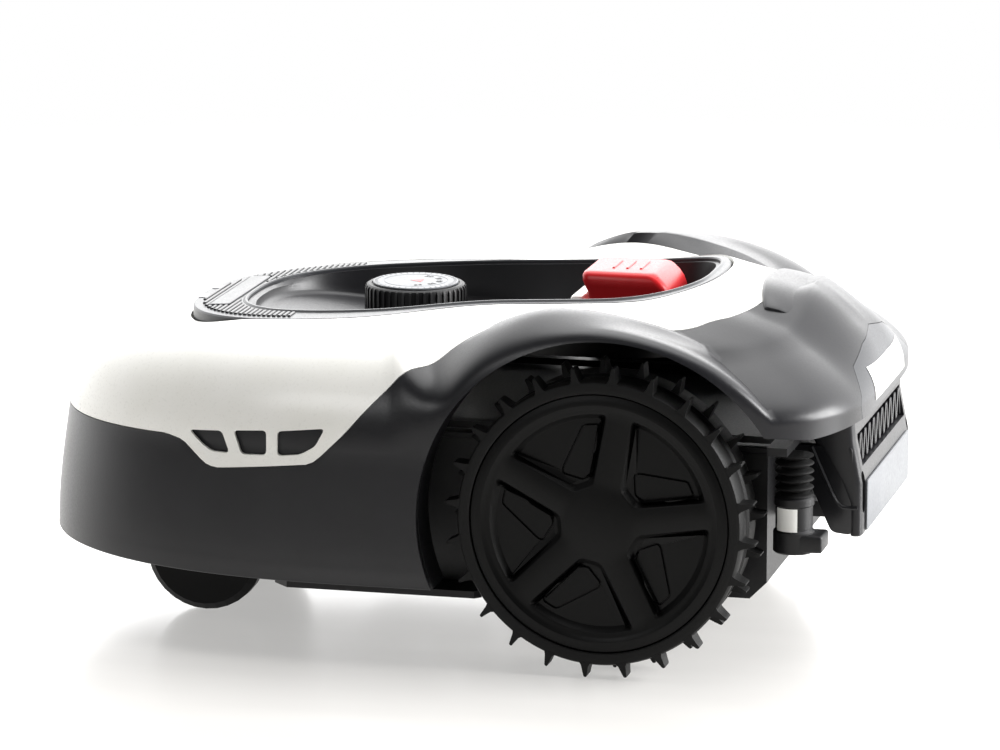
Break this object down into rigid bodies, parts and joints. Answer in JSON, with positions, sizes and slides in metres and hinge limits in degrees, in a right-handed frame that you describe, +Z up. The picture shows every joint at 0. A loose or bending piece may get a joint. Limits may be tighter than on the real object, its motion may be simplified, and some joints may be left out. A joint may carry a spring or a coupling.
{
  "type": "robotic lawn mower",
  "caption": "Self-driving battery lawn mower: floating shell on a chassis with spiked drive wheels, swivelling front casters and a height-adjustable blade disc.",
  "frame": {"origin": "on the ground, under the middle of the bounding box", "axes": "+X towards the front of the mower, +Y to its left, +Z up"},
  "size_m": [0.61, 0.404, 0.256],
  "materials": {
    "dark_plastic": "satin moulded, dark charcoal",
    "pale_plastic": "satin painted, warm off-white",
    "grey_plastic": "fine-textured, dark grey",
    "wheel_plastic": "fine-textured, near black",
    "rubber": "matte, near black",
    "red_plastic": "satin, signal red",
    "steel": "bright",
    "circuit_board": "solder mask",
    "battery_wrap": "shrink wrap",
    "label_stock": "printed foil, left blank"
  },
  "bodies": {
    "chassis": {"chassis_tub": "dark_plastic", "chassis_lid": "grey_plastic", "skid_plate": "dark_plastic", "battery_pack": "battery_wrap", "main_board": "circuit_board", "drive_motor_left": "steel", "drive_motor_right": "steel", "rear_post_left": "dark_plastic", "rear_post_right": "dark_plastic", "boot_left": "rubber", "boot_right": "rubber", "tail_housing": "dark_plastic", "label_plate": "label_stock"},
    "float_frame": {"bump_frame": "grey_plastic"},
    "shell": {"lower_shell": "dark_plastic", "hood": "pale_plastic", "vent_insert_left": "dark_plastic", "vent_insert_right": "dark_plastic", "rear_panel": "grey_plastic", "deck_frame": "grey_plastic", "recess_tray": "grey_plastic", "name_plate": "grey_plastic", "contact_left": "steel", "contact_right": "steel", "stop_base": "pale_plastic", "control_panel": "dark_plastic"},
    "stop_button": {"stop_button": "red_plastic"},
    "height_knob": {"height_knob": "wheel_plastic", "knob_dial": "label_stock", "knob_spindle": "steel"},
    "cutter_carriage": {"cutter_carriage": "grey_plastic", "blade_motor": "steel"},
    "blade_disc": {"blade_disc": "wheel_plastic", "disc_nut": "steel"},
    "blade_1": {"blade_1": "steel"},
    "blade_2": {"blade_2": "steel"},
    "blade_3": {"blade_3": "steel"},
    "drive_wheel_left": {"tyre_left": "rubber", "rim_left": "wheel_plastic", "hub_cap_left": "wheel_plastic", "wheel_shaft_left": "steel", "wheel_nut_left": "steel"},
    "caster_fork_left": {"caster_fork_left": "dark_plastic", "caster_pin_left": "steel"},
    "caster_wheel_left": {"caster_wheel_left": "wheel_plastic"},
    "drive_wheel_right": {"tyre_right": "rubber", "rim_right": "wheel_plastic", "hub_cap_right": "wheel_plastic", "wheel_shaft_right": "steel", "wheel_nut_right": "steel"},
    "caster_fork_right": {"caster_fork_right": "dark_plastic", "caster_pin_right": "steel"},
    "caster_wheel_right": {"caster_wheel_right": "wheel_plastic"}
  },
  "joints": [
    {"name": "bump_float", "type": "slide", "parent": "chassis", "child": "float_frame", "axis": [1, 0, 0], "range_m": [-0.004, 0.004], "stiffness_N_per_m": 4000},
    {"name": "shell_lift", "type": "slide", "parent": "float_frame", "child": "shell", "axis": [0, 0, 1], "range_m": [0, 0.008], "stiffness_N_per_m": 2500, "springref_m": -0.004},
    {"name": "stop_press", "type": "slide", "parent": "shell", "child": "stop_button", "axis": [0, 0, -1], "range_m": [0, 0.004], "stiffness_N_per_m": 3000, "springref_m": -0.001},
    {"name": "height_dial", "type": "hinge", "parent": "chassis", "child": "height_knob", "pos_m": [0.044, 0, 0.22], "axis": [0, 0, 1], "range_deg": [-135, 135]},
    {"name": "cutter_height", "type": "slide", "parent": "chassis", "child": "cutter_carriage", "axis": [0, 0, 1], "range_m": [-0.02, 0.02]},
    {"name": "disc_spin", "type": "hinge", "parent": "cutter_carriage", "child": "blade_disc", "pos_m": [0.039, 0, 0.05], "axis": [0, 0, 1], "continuous": true},
    {"name": "blade_pivot_1", "type": "hinge", "parent": "blade_disc", "child": "blade_1", "pos_m": [0.103, 0, 0.045], "axis": [0, 0, 1], "continuous": true},
    {"name": "blade_pivot_2", "type": "hinge", "parent": "blade_disc", "child": "blade_2", "pos_m": [0.007, 0.05543, 0.045], "axis": [0, 0, 1], "continuous": true},
    {"name": "blade_pivot_3", "type": "hinge", "parent": "blade_disc", "child": "blade_3", "pos_m": [0.007, -0.05543, 0.045], "axis": [0, 0, 1], "continuous": true},
    {"name": "drive_axle_left", "type": "hinge", "parent": "chassis", "child": "drive_wheel_left", "pos_m": [-0.136, 0.1395, 0.11], "axis": [0, 1, 0], "continuous": true},
    {"name": "caster_swivel_left", "type": "hinge", "parent": "chassis", "child": "caster_fork_left", "pos_m": [0.202, 0.0655, 0.1], "axis": [0, 0, 1], "continuous": true},
    {"name": "caster_roll_left", "type": "hinge", "parent": "caster_fork_left", "child": "caster_wheel_left", "pos_m": [0.184, 0.0655, 0.044], "axis": [0, 1, 0], "continuous": true},
    {"name": "drive_axle_right", "type": "hinge", "parent": "chassis", "child": "drive_wheel_right", "pos_m": [-0.136, -0.1395, 0.11], "axis": [0, 1, 0], "continuous": true},
    {"name": "caster_swivel_right", "type": "hinge", "parent": "chassis", "child": "caster_fork_right", "pos_m": [0.202, -0.0655, 0.1], "axis": [0, 0, 1], "continuous": true},
    {"name": "caster_roll_right", "type": "hinge", "parent": "caster_fork_right", "child": "caster_wheel_right", "pos_m": [0.184, -0.0655, 0.044], "axis": [0, 1, 0], "continuous": true}
  ],
  "couplings": [
    {"joint": "height_dial", "follows": "cutter_height", "rad_per_m": 117.81}
  ]
}
